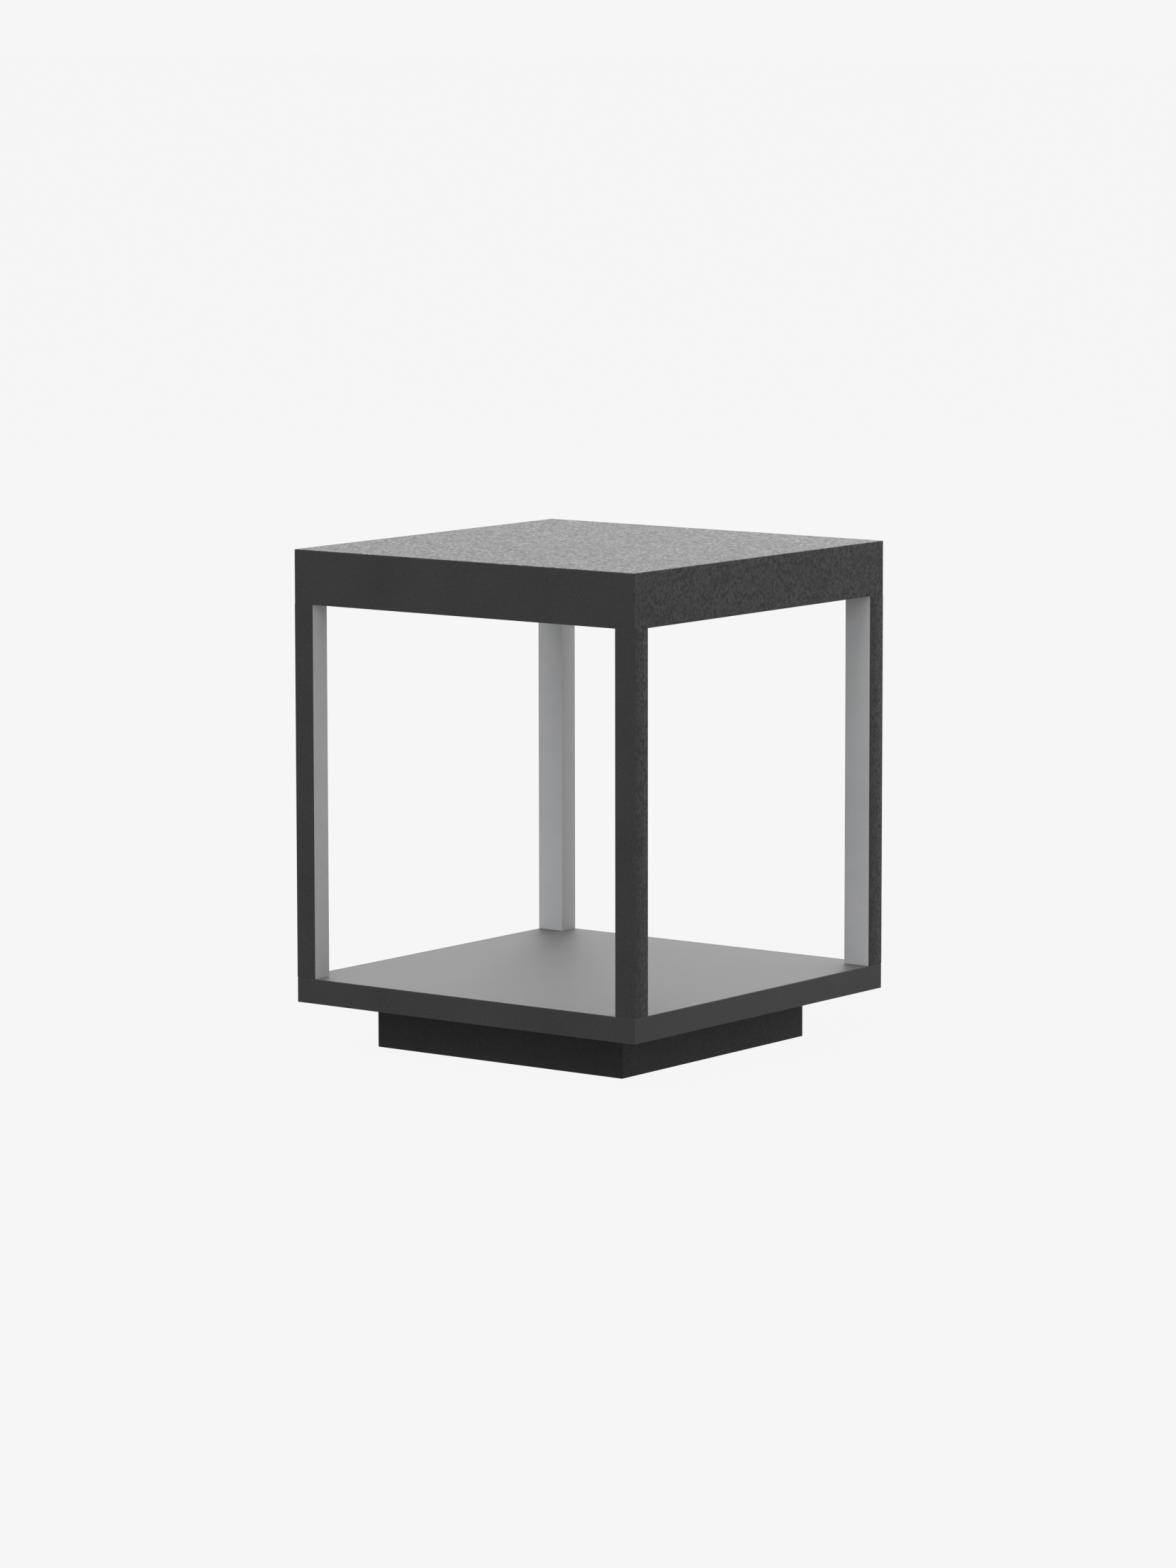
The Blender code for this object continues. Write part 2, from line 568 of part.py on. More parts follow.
def make_flap(plastic, steel):
    """Port flap that hangs from a pin along X; its origin is on the pin."""
    wall = PLINTH_WIDTH / 2
    pivot = Vector((PORT_X, wall + FLAP_PIVOT_OUT, FLAP_PIVOT_Z))
    half = FLAP_WIDTH / 2
    flap = turned_to(disc("port_flap", FLAP_BARREL, -half, half, (0, 0), plastic), "x", (0, 0, 0))
    back = GAP - FLAP_PIVOT_OUT
    front = back + FLAP_THICK
    plate = block("plate", (-half, back, -FLAP_LENGTH), (half, front, -FLAP_PIN), None)
    half_x, half_z = (size / 2 - FLAP_PLUG_FIT for size in PORT_HOLE)
    centre = SERVICE_Z - FLAP_PIVOT_Z
    plug = block("plug", (-half_x, back - FLAP_PLUG_DEPTH, centre - half_z),
                 (half_x, (back + front) / 2, centre + half_z), None, FLAP_PLUG_FIT)
    grip_width, grip_height, grip_proud = FLAP_GRIP
    grip = block("grip", (-grip_width / 2, (back + front) / 2, -FLAP_LENGTH),
                 (grip_width / 2, front + grip_proud, grip_height - FLAP_LENGTH), None)
    joined(flap, plate, plug, grip)
    bore = disc("hole", FLAP_PIN + PIN_CLEARANCE, -half - OVERCUT, half + OVERCUT, (0, 0), None)
    cut(flap, turned_to(bore, "x", (0, 0, 0)))
    flap.location = pivot
    reach = half + GAP + LUG_WIDTH
    pin = disc("flap_pin", FLAP_PIN, -reach, reach, (0, 0), steel)
    turned_to(pin, "x", (0, 0, 0))
    pin.location = pivot


def make_button(plastic):
    """Push button along Y, dished face outwards; it slides inwards by BUTTON_TRAVEL."""
    stem, stem_reach = BUTTON_STEM
    collar, collar_thick = BUTTON_COLLAR
    inner_face = -PLINTH_WALL - GAP
    dish = BUTTON_DISH
    profile = (
        (stem, inner_face - stem_reach), (stem, inner_face - collar_thick),
        (collar, inner_face - collar_thick), (collar, inner_face),
        (BUTTON_RADIUS, inner_face), (BUTTON_RADIUS, BUTTON_PROUD - dish),
        (BUTTON_RADIUS - dish * 0.3, BUTTON_PROUD - dish * 0.3),
        (BUTTON_RADIUS - dish, BUTTON_PROUD), (BUTTON_RADIUS - dish * 3, BUTTON_PROUD),
        (BUTTON_RADIUS - dish * 5, BUTTON_PROUD - dish * 0.7),
        (BUTTON_RADIUS - dish * 9, BUTTON_PROUD - dish))
    rings = [circle_ring(radius, level) for radius, level in profile]
    button = turned_to(ring_solid("power_button", rings, plastic), "y", (0, 0, 0))
    button.location = (BUTTON_X, PLINTH_WIDTH / 2, SERVICE_Z)


# ---- electronics and battery -------------------------------------------------
def make_control_board(board_green, steel, plastic):
    """The board, with the charging socket behind its hole and the switch behind the button."""
    z_low = CONTROL_BOARD_Z
    z_high = z_low + BOARD_THICK
    half_x, half_y = CONTROL_BOARD[0] / 2, CONTROL_BOARD[1] / 2
    board = block("control_board", (-half_x, CONTROL_BOARD_Y - half_y, z_low),
                  (half_x, CONTROL_BOARD_Y + half_y, z_high), board_green)
    joined(board, component(CABLE_PLUG, CABLE_START.xy, z_high),
           component(CONTROL_CHIP, CONTROL_CHIP_AT, z_high), component(COIL, COIL_AT, z_high))
    on_board = z_high + GAP
    inside = PLINTH_WIDTH / 2 - PLINTH_WALL
    width, depth, height = SOCKET
    front = inside - 2 * GAP
    socket = block("charge_socket", (PORT_X - width / 2, front - depth, on_board),
                   (PORT_X + width / 2, front, on_board + height), steel, SOCKET_CORNER)
    half_x = width / 2 - SOCKET_WALL
    cut(socket, block("hole", (PORT_X - half_x, front - SOCKET_DEPTH, on_board + SOCKET_WALL),
                      (PORT_X + half_x, front + OVERCUT, on_board + height - SOCKET_WALL), None))
    width, depth, height = SWITCH
    tip_radius, tip_reach = SWITCH_TIP
    tip_end = inside - GAP - BUTTON_STEM[1] - GAP - BUTTON_TRAVEL
    front = tip_end - tip_reach
    switch = block("tact_switch", (BUTTON_X - width / 2, front - depth, on_board),
                   (BUTTON_X + width / 2, front, on_board + height), plastic)
    tip = disc("tip", tip_radius, -OVERCUT, tip_reach, (0, 0), None, SCREW_SEGMENTS)
    joined(switch, turned_to(tip, "y", (BUTTON_X, front, SERVICE_Z)))


def make_battery(plastic, cell_wrap):
    """Two cells along X in an open-bottomed holder under the plinth's ceiling."""
    top = PLINTH_TOP - GAP - PLINTH_WALL - GAP
    base = top - HOLDER_WALL
    steps = ((HOLDER_WALL, base), (HOLDER_WALL, HOLDER_LIP), (0, HOLDER_LIP), (0, top))
    rings = [square_ring(HOLDER[0] / 2 - inset, HOLDER[1] / 2 - inset, z, EDGE_RADIUS,
                         (0.0, BATTERY_Y)) for inset, z in steps]
    ring_solid("battery_holder", rings, plastic)
    half = CELL_LENGTH / 2
    cap_radius, cap_height = CELL_CAP
    profile = ((CELL_RADIUS, -half), (CELL_RADIUS, half - cap_height),
               (cap_radius, half - cap_height), (cap_radius, half))
    for number, side in enumerate((-1, 1), start=1):
        rings = [circle_ring(radius, level) for radius, level in profile]
        cell = ring_solid(f"battery_cell_{number}", rings, cell_wrap)
        turned_to(cell, "x", (0, BATTERY_Y + side * CELL_PITCH / 2, base - GAP - CELL_RADIUS))


# ---- cables ------------------------------------------------------------------
def bent_path(corners, bend, steps=6):
    """Straight runs between the corners, joined by arcs of radius bend."""
    points = [corners[0]]
    for before, corner, after in zip(corners, corners[1:], corners[2:]):
        into = (corner - before).normalized()
        out = (after - corner).normalized()
        turn = into.angle(out)
        inwards = (out - into * out.dot(into)).normalized()
        start = corner - into * bend * math.tan(turn / 2)
        for step in range(steps + 1):
            angle = turn * step / steps
            points.append(start + bend * (into * math.sin(angle) + inwards * (1 - math.cos(angle))))
    points.append(corners[-1])
    return points


def tube(name, points, radius, made_of, sides=8):
    """A round tube along the points, its section carried along without twist."""
    ahead = [(b - a).normalized() for a, b in zip(points, points[1:])]
    ahead.append(ahead[-1])
    across = ahead[0].orthogonal().normalized()
    rings = []
    for i, point in enumerate(points):
        along = (ahead[max(i - 1, 0)] + ahead[i]).normalized()
        across = (across - along * across.dot(along)).normalized()
        other = along.cross(across)
        turns = [2 * math.pi * k / sides for k in range(sides)]
        rings.append([point + radius * (across * math.cos(a) + other * math.sin(a)) for a in turns])
    return ring_solid(name, rings, made_of)


def make_cables(sheath, red, board_low):
    """The lamp cable, up the rear-left post, and the lead from the battery to the board."""
    channel = cable_channel(-1)
    under_floor = PLINTH_TOP + CABLE_OVER_FLOOR
    in_head = board_low - LED_PLUG[2] / 2
    plug = Vector((-LED_CONNECTOR_AT[0], LED_CONNECTOR_AT[1], in_head))
    corners = [CABLE_START,
               Vector((*CABLE_START.xy, under_floor)),
               Vector((*channel, under_floor)),
               Vector((*channel, in_head))]
    towards = (plug - corners[-1]).normalized()
    corners.append(plug - towards * (LED_PLUG[0] / math.sqrt(2) + GAP))
    tube("lamp_cable", bent_path(corners, CABLE_BEND), CABLE_RADIUS, sheath)

    board_edge = CONTROL_BOARD_Y - CONTROL_BOARD[1] / 2
    start = Vector((0.0, BATTERY_Y + HOLDER[1] / 2 + GAP, LEAD_Z))
    aside = Vector((LEAD_X, board_edge - LEAD_BACK, LEAD_Z))
    over_board = Vector((LEAD_X, board_edge + LEAD_OVER, LEAD_Z))
    corners = [start, start + Vector((0, LEAD_OUT, 0)), aside, over_board,
               Vector((*over_board.xy, CONTROL_BOARD_Z + BOARD_THICK + GAP))]
    tube("battery_lead", bent_path(corners, LEAD_BEND, 4), LEAD_RADIUS, red)


def main():
    clear_scene()
    coat = material("textured_black_coat", (0.022, 0.022, 0.023), 0.42)
    smooth_coat = material("smooth_black_coat", (0.022, 0.022, 0.023), 0.30)
    grey = material("satin_grey_coat", (0.30, 0.305, 0.31), 0.45)
    plastic = material("matt_black_plastic", (0.012, 0.012, 0.012), 0.62)
    rubber = material("black_rubber", (0.02, 0.02, 0.02), 0.85)
    steel = material("stainless_steel", (0.55, 0.55, 0.56), 0.35, 1.0)
    aluminium = material("bare_aluminium", (0.70, 0.71, 0.72), 0.40, 1.0)
    opal = material("opal_acrylic", (0.86, 0.87, 0.86), 0.35)
    white = material("white_reflector", (0.85, 0.85, 0.83), 0.50)
    board_green = material("circuit_board", (0.03, 0.16, 0.07), 0.45)
    cell_wrap = material("battery_wrap", (0.05, 0.14, 0.35), 0.35)
    sheath = material("cable_sheath", (0.03, 0.03, 0.03), 0.60)
    red = material("red_lead", (0.45, 0.03, 0.02), 0.50)

    make_head(coat, steel)
    board_low = make_light_panel(rubber, opal, white, board_green, aluminium)
    make_posts(coat, grey)
    make_base_plate(coat, smooth_coat, steel)
    make_plinth(plastic, rubber, steel)
    make_flap(plastic, steel)
    make_button(plastic)
    make_control_board(board_green, steel, plastic)
    make_battery(plastic, cell_wrap)
    make_cables(sheath, red, board_low)


main()
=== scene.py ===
"""Looks of a square open-frame garden lantern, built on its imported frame.

Metres, +Z up, the lantern stands on z = 0 with its front towards -Y.
"""

import json
import math

import bmesh
import bpy
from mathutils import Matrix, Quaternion, Vector


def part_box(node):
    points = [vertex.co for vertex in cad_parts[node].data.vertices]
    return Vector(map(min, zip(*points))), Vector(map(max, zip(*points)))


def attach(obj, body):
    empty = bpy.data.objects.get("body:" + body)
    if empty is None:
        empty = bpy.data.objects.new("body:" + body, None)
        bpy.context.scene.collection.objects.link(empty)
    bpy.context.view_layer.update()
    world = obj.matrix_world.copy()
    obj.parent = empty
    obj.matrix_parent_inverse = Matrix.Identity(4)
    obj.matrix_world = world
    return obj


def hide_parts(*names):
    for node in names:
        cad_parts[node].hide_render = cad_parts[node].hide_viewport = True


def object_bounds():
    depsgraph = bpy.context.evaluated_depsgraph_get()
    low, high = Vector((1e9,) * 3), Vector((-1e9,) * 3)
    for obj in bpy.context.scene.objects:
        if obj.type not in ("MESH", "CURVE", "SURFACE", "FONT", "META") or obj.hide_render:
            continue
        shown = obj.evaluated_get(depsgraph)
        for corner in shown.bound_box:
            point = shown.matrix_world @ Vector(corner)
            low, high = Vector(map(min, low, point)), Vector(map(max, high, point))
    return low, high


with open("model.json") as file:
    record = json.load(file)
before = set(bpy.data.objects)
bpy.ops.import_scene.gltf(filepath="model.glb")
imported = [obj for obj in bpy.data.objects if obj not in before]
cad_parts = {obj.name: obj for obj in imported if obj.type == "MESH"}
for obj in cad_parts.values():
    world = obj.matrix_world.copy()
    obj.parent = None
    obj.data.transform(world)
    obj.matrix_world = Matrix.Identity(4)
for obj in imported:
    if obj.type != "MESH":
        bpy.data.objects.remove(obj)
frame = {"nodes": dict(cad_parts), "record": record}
nodes = frame["nodes"]
cad_low, cad_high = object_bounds()

MM = 0.001
WIDTH = cad_high.x - cad_low.x
HEAD_TOP = Vector((0.0, 0.0, cad_high.z))

# ---- camera: a long lens, a little above the head, turned towards the near corner ----
LENS = 144.0
SENSOR_WIDTH = 36.0
CLIP_END = 100.0
CAMERA_AZIMUTH = math.radians(37.084)
CAMERA_PITCH = math.radians(7.525)
CAMERA_ROLL = math.radians(-0.083)
CAMERA_FROM_HEAD = Vector((8.9516, -11.8552, 1.3888))    # in widths of the head

# ---- studio ----
BACKDROP = 0.922            # linear, all round and under the lantern
FLOOR_SIZE = 60.0
FLOOR_DEPTH = 0.4 * MM      # below the feet
FLOOR_GLOW = 0.99           # share of the backdrop's tone that the floor gives by itself
FLOOR_ALBEDO = 0.004
SOFTBOX_AWAY = 4.0          # from the point that all of them face
SOFTBOX_AIM = Vector((0.0, 0.0, 0.15))
SOFTBOXES = (               # azimuth and elevation in degrees, width, height, radiance
    (143, 12, 4.0, 1.6, 0.9),
    (143, 35, 3.0, 3.0, 1.45),
    (100, 15, 3.0, 2.0, 3.0),
    (260, 50, 3.0, 3.0, 6.0),
    (300, 25, 3.0, 3.0, 2.8),
    (66, 14, 3.0, 2.0, 2.2),
)

# ---- finishes ----
NOISE_LOW, NOISE_HIGH = 0.3, 0.7    # most of a noise's values lie between these
SHEEN_ROUGHNESS = 0.3
CLOUD_SHARE = 0.25          # of the large soft patches in the black coats' tone

# ---- pieces that replace CAD solids ----
SMOOTH_BELOW = math.radians(40)     # sharper edges than this stay creased
FILLET_SHARE = 0.4          # of a side, the most that the fillet at one end takes
SEAM = 0.02 * MM            # between the posts' pieces, and at their ends
SKIN_THICK = 1.3 * MM
SKIN_LAND = 0.3 * MM        # square part of the skin's edge, before its slant
EDGE = 0.25 * MM            # rounded edges of the posts
HEX_FLAT = {"m3": 1.0 * MM, "m4": 1.5 * MM}     # half the width across the flats
SHANK = {"m3": 1.5 * MM, "m4": 2.0 * MM}        # radius
SCREW_HEAD = {"m3": 1.5 * MM, "m4": 2.4 * MM}   # height
THREAD_PITCH = {"m3": 0.5 * MM, "m4": 0.7 * MM}
THREAD_DEPTH = 0.6          # in pitches
HEAD_CHAMFER = 0.12         # in radii of the head
FOOT_RECESS = 0.25          # depth, in thicknesses of the foot
BUTTON_STEM = 1.5 * MM      # radius
BUTTON_COLLAR = 1.8 * MM    # thickness
BUTTON_LIP = 1.6 * MM       # how far the collar stands out round the cap
BUTTON_CAP = 4.4 * MM       # length in front of the collar
BUTTON_RIM = 0.6 * MM       # rounding of the cap's edge, and the flat inside it
BUTTON_DISH = 0.5 * MM      # depth
FLAP_BORE = 0.75 * MM
FLAP_THICK = 1.4 * MM
FLAP_CORNER = 1.5 * MM
FLAP_CHAMFER = 0.2 * MM
FLAP_PLUG = (10.6 * MM, 5.4 * MM)               # width, height
PLUG_ROUND = 0.3            # radius of its corners, in its heights
FLAP_GRIP = (10.0 * MM, 1.6 * MM, 0.9 * MM)     # width, height, how far it stands proud
GRIP_CORNER = 0.6 * MM
SOCKET_WALL = 0.35 * MM
SOCKET_DEPTH = 6.5 * MM
SOCKET_ROUND = 0.4          # radius of its corners, in its heights
TONGUE = (0.33, 0.11)       # half its width and height, in those of the socket
TONGUE_BACK = 1.0 * MM      # from the socket's mouth to the tongue's end
TONGUE_CHAMFER = 0.4        # in halves of its height
FINE_SEGMENTS = 48
SCREW_SEGMENTS = 24
ARC_STEPS = 4


# ==== studio ==========================================================================
def make_camera():
    data = bpy.data.cameras.new("camera")
    data.lens = LENS
    data.sensor_width = SENSOR_WIDTH
    data.clip_end = CLIP_END
    camera = bpy.data.objects.new("camera", data)
    bpy.context.scene.collection.objects.link(camera)
    forward = Vector((-math.sin(CAMERA_AZIMUTH) * math.cos(CAMERA_PITCH),
                      math.cos(CAMERA_AZIMUTH) * math.cos(CAMERA_PITCH),
                      -math.sin(CAMERA_PITCH)))
    camera.location = HEAD_TOP + CAMERA_FROM_HEAD * WIDTH
    camera.rotation_mode = "QUATERNION"
    roll = Quaternion((0.0, 0.0, 1.0), CAMERA_ROLL)
    camera.rotation_quaternion = forward.to_track_quat("-Z", "Y") @ roll
    bpy.context.scene.camera = camera


def make_world():
    world = bpy.data.worlds.new("studio")
    world.use_nodes = True
    background = world.node_tree.nodes["Background"]
    background.inputs["Color"].default_value = (BACKDROP, BACKDROP, BACKDROP, 1.0)
    background.inputs["Strength"].default_value = 1.0
    bpy.context.scene.world = world
    bpy.context.scene.view_settings.view_transform = "Standard"


def make_softboxes():
    """Area lights round the lantern, all of them out of the camera's sight."""
    for number, (azimuth, elevation, width, height, radiance) in enumerate(SOFTBOXES, start=1):
        light = bpy.data.lights.new(f"softbox_{number}", "AREA")
        light.shape = "RECTANGLE"
        light.size = width
        light.size_y = height
        light.energy = radiance * width * height * math.pi
        around, up = math.radians(azimuth), math.radians(elevation)
        towards = Vector((math.cos(around) * math.cos(up),
                          math.sin(around) * math.cos(up), math.sin(up)))
        box = bpy.data.objects.new(f"softbox_{number}", light)
        box.location = SOFTBOX_AIM + towards * SOFTBOX_AWAY
        box.rotation_euler = (-towards).to_track_quat("-Z", "Y").to_euler()
        box.visible_camera = False
        bpy.context.scene.collection.objects.link(box)


def make_floor():
    """Sheet that glows like the backdrop and takes next to no light of its own."""
    mesh = bpy.data.meshes.new("floor")
    half = FLOOR_SIZE / 2
    corners = [(-half, -half, -FLOOR_DEPTH), (half, -half, -FLOOR_DEPTH),
               (half, half, -FLOOR_DEPTH), (-half, half, -FLOOR_DEPTH)]
    mesh.from_pydata(corners, [], [(0, 1, 2, 3)])
    floor = bpy.data.objects.new("floor", mesh)
    bpy.context.scene.collection.objects.link(floor)
    paper = bpy.data.materials.new("pale_floor")
    paper.use_nodes = True
    shader = paper.node_tree.nodes["Principled BSDF"]
    shader.inputs["Base Color"].default_value = (FLOOR_ALBEDO,) * 3 + (1.0,)
    shader.inputs["Specular IOR Level"].default_value = 0.0
    shader.inputs["Emission Color"].default_value = (1.0, 1.0, 1.0, 1.0)
    shader.inputs["Emission Strength"].default_value = BACKDROP * FLOOR_GLOW
    mesh.materials.append(paper)


# ==== materials =======================================================================
class Paint:
    """A Principled material with helpers for its noise, colour, roughness and bump."""

    def __init__(self, name, roughness, metallic=0.0):
        self.material = bpy.data.materials.new(name)
        self.material.use_nodes = True
        self.nodes = self.material.node_tree.nodes
        self.links = self.material.node_tree.links
        self.shader = self.nodes["Principled BSDF"]
        self.shader.inputs["Roughness"].default_value = roughness
        self.shader.inputs["Metallic"].default_value = metallic
        self.place = self.nodes.new("ShaderNodeTexCoord").outputs["Object"]

    def noise(self, size, detail=2.0):
        """Noise from 0 to 1 whose features are about size metres across."""
        made = self.nodes.new("ShaderNodeTexNoise")
        made.inputs["Scale"].default_value = 1.0 / size
        made.inputs["Detail"].default_value = detail
        self.links.new(self.place, made.inputs["Vector"])
        return made.outputs["Fac"]

    def spread(self, value, low=0.0, high=1.0):
        """The noise's usual values, stretched over the range from low to high."""
        made = self.nodes.new("ShaderNodeMapRange")
        made.inputs["From Min"].default_value = NOISE_LOW
        made.inputs["From Max"].default_value = NOISE_HIGH
        made.inputs["To Min"].default_value = low
        made.inputs["To Max"].default_value = high
        self.links.new(value, made.inputs["Value"])
        return made.outputs["Result"]

    def mixed(self, first, second, share):
        """The first value, with that share of the second in its place."""
        made = self.nodes.new("ShaderNodeMix")
        made.inputs["Factor"].default_value = share
        self.links.new(first, made.inputs["A"])
        self.links.new(second, made.inputs["B"])
        return made.outputs["Result"]

    def colour(self, value, dark, light):
        """Base colour from dark to light, as the value goes through its usual range."""
        made = self.nodes.new("ShaderNodeMix")
        made.data_type = "RGBA"
        made.inputs["A"].default_value = (*dark, 1.0)
        made.inputs["B"].default_value = (*light, 1.0)
        self.links.new(self.spread(value), made.inputs["Factor"])
        self.links.new(made.outputs["Result"], self.shader.inputs["Base Color"])

    def roughness(self, value, low, high):
        self.links.new(self.spread(value, low, high), self.shader.inputs["Roughness"])

    def bump(self, value, height, before=None):
        """Bump of that height, on top of the one before; gives its normal for the next."""
        made = self.nodes.new("ShaderNodeBump")
        made.inputs["Strength"].default_value = 1.0
        made.inputs["Distance"].default_value = height
        self.links.new(value, made.inputs["Height"])
        if before:
            self.links.new(before, made.inputs["Normal"])
        self.links.new(made.outputs["Normal"], self.shader.inputs["Normal"])
        return made.outputs["Normal"]

    def set(self, socket, value):
        self.shader.inputs[socket].default_value = value


def coat_on(paint, specular, sheen, tone, fleck):
    """What both black coats share: low gloss, flecked, and pale at a grazing angle."""
    paint.set("Specular IOR Level", specular)
    paint.set("Sheen Weight", sheen)
    paint.set("Sheen Roughness", SHEEN_ROUGHNESS)
    flecks = paint.noise(0.9 * MM)
    cloud = paint.noise(40 * MM)
    both = paint.mixed(flecks, cloud, CLOUD_SHARE)
    paint.colour(both, (tone - fleck,) * 3, (tone + fleck,) * 3)


def textured_coat():
    """Fine-textured near-black powder coat."""
    paint = Paint("textured_black_coat", 0.60)
    coat_on(paint, specular=0.26, sheen=0.112, tone=0.0077, fleck=0.0047)
    grain = paint.noise(1.7 * MM)
    paint.roughness(grain, 0.38, 0.82)
    fine = paint.bump(paint.noise(0.35 * MM, 1.0), 0.010 * MM)
    paint.bump(grain, 0.08 * MM, fine)
    return paint.material


def smooth_coat():
    """The same coat with a finer texture, on the base plate."""
    paint = Paint("smooth_black_coat", 0.57)
    coat_on(paint, specular=0.31, sheen=0.212, tone=0.0062, fleck=0.0048)
    paint.roughness(paint.noise(1.0 * MM, 1.0), 0.55, 0.59)
    paint.bump(paint.noise(0.5 * MM, 1.0), 0.006 * MM)
    return paint.material


def grey_coat():
    """Smooth light grey inside of the posts."""
    paint = Paint("satin_grey_coat", 0.45)
    paint.colour(paint.noise(12 * MM, 3.0), (0.222, 0.224, 0.228), (0.236, 0.238, 0.243))
    paint.roughness(paint.noise(2 * MM), 0.45, 0.55)
    paint.bump(paint.noise(1.2 * MM), 0.004 * MM)
    return paint.material


def plinth_plastic():
    """Matt black moulding with a spark-eroded grain."""
    paint = Paint("matt_black_plastic", 0.7)
    paint.set("Specular IOR Level", 0.22)
    paint.colour(paint.noise(20 * MM, 3.0), (0.004,) * 3, (0.006,) * 3)
    paint.roughness(paint.noise(1.5 * MM), 0.62, 0.76)
    paint.bump(paint.noise(0.5 * MM), 0.012 * MM)
    return paint.material


def plain(name, dark, light, roughness, metallic=0.0, size=4 * MM, height=0.01 * MM):
    """Small parts: a little variation of tone and roughness, and a fine bump."""
    paint = Paint(name, roughness, metallic)
    paint.colour(paint.noise(size, 3.0), dark, light)
    paint.roughness(paint.noise(size / 2), roughness - 0.05, roughness + 0.05)
    paint.bump(paint.noise(size / 4), height)
    return paint.material


def opal():
    """Satin white sheet over the light."""
    paint = Paint("opal_acrylic", 0.4)
    paint.colour(paint.noise(30 * MM), (0.80, 0.81, 0.80), (0.84, 0.85, 0.84))
    paint.roughness(paint.noise(1.0 * MM), 0.36, 0.44)
    paint.bump(paint.noise(0.6 * MM), 0.006 * MM)
    return paint.material


MATERIALS = {
    "textured_coat": textured_coat(),
    "smooth_coat": smooth_coat(),
    "grey_coat": grey_coat(),
    "plinth_plastic": plinth_plastic(),
    "inner_plastic": plain("inner_plastic", (0.03,) * 3, (0.045,) * 3, 0.5),
    "black_rubber": plain("black_rubber", (0.012,) * 3, (0.02,) * 3, 0.8),
    "stainless_steel": plain("stainless_steel", (0.50,) * 3, (0.58,) * 3, 0.32, 1.0),
    "bare_aluminium": plain("bare_aluminium", (0.66, 0.67, 0.68), (0.74, 0.75, 0.76), 0.4, 1.0),
    "opal_acrylic": opal(),
    "white_plastic": plain("white_plastic", (0.80, 0.80, 0.78), (0.86, 0.86, 0.84), 0.5),
    "circuit_board": plain("circuit_board", (0.02, 0.12, 0.05), (0.03, 0.17, 0.07), 0.4),
    "battery_wrap": plain("battery_wrap", (0.04, 0.12, 0.32), (0.05, 0.15, 0.38), 0.35),
    "cable_sheath": plain("cable_sheath", (0.02,) * 3, (0.03,) * 3, 0.55),
    "red_lead": plain("red_lead", (0.40, 0.02, 0.015), (0.48, 0.03, 0.02), 0.45),
}


SLOT_OF = {row["node"]: row["material_slot"] for row in frame["record"]["subparts"]}


def dress_nodes():
    for node, slot in SLOT_OF.items():
        mesh = nodes[node].data
        mesh.materials.clear()
        mesh.materials.append(MATERIALS[slot])


# ==== pieces ==========================================================================
def add_piece(shape, node, body="lantern"):
    """Shows the mesh in place of its CAD node, in that node's finish and on its body."""
    bmesh.ops.recalc_face_normals(shape, faces=shape.faces)
    mesh = bpy.data.meshes.new(f"{node}_fine")
    shape.to_mesh(mesh)
    shape.free()
    mesh.shade_smooth()
    mesh.set_sharp_from_angle(angle=SMOOTH_BELOW)
    mesh.materials.append(MATERIALS[SLOT_OF[node]])
    piece = bpy.data.objects.new(f"{node}_fine", mesh)
    bpy.context.scene.collection.objects.link(piece)
    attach(piece, body)
    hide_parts(node)


def ring_shell(shape, rings, closed=False):
    """Joins the rings in order, and the last to the first if closed, else caps both."""
    loops = [[shape.verts.new(point) for point in ring] for ring in rings]
    pairs = list(zip(loops, loops[1:]))
    if closed:
        pairs.append((loops[-1], loops[0]))
    else:
        shape.faces.new(reversed(loops[0]))
        shape.faces.new(loops[-1])
    for lower, upper in pairs:
        for i in range(len(lower)):
            j = (i + 1) % len(lower)
            shape.faces.new((lower[i], lower[j], upper[j], upper[i]))


def filleted(corners, radius, steps=3):
    """The outline with each corner replaced by an arc of about that radius."""
    points = []
    count = len(corners)
    for i, corner in enumerate(corners):
        here = Vector(corner)
        back = Vector(corners[i - 1]) - here
        ahead = Vector(corners[(i + 1) % count]) - here
        reach = min(radius, back.length * FILLET_SHARE, ahead.length * FILLET_SHARE)
        start = here + back.normalized() * reach
        finish = here + ahead.normalized() * reach
        for step in range(steps + 1):
            share = step / steps
            points.append(start * (1 - share) ** 2 + here * 2 * share * (1 - share)
                          + finish * share ** 2)
    return points


def post_outlines(width, depth):
    """Skin and core of a post, measured inwards from its outer corner."""
    wall, land = SKIN_THICK, SKIN_LAND
    slant = SEAM * math.sqrt(2)
    inner = wall + SEAM
    shoulder = inner - land - slant
    skin = [(0, 0), (width, 0), (width, land), (width - wall + land, wall), (wall, wall),
            (wall, depth - wall + land), (land, depth), (0, depth)]
    core = [(inner, inner), (width - shoulder, inner), (width, land + slant), (width, depth),
            (land + slant, depth), (inner, depth - shoulder)]
    return skin, core


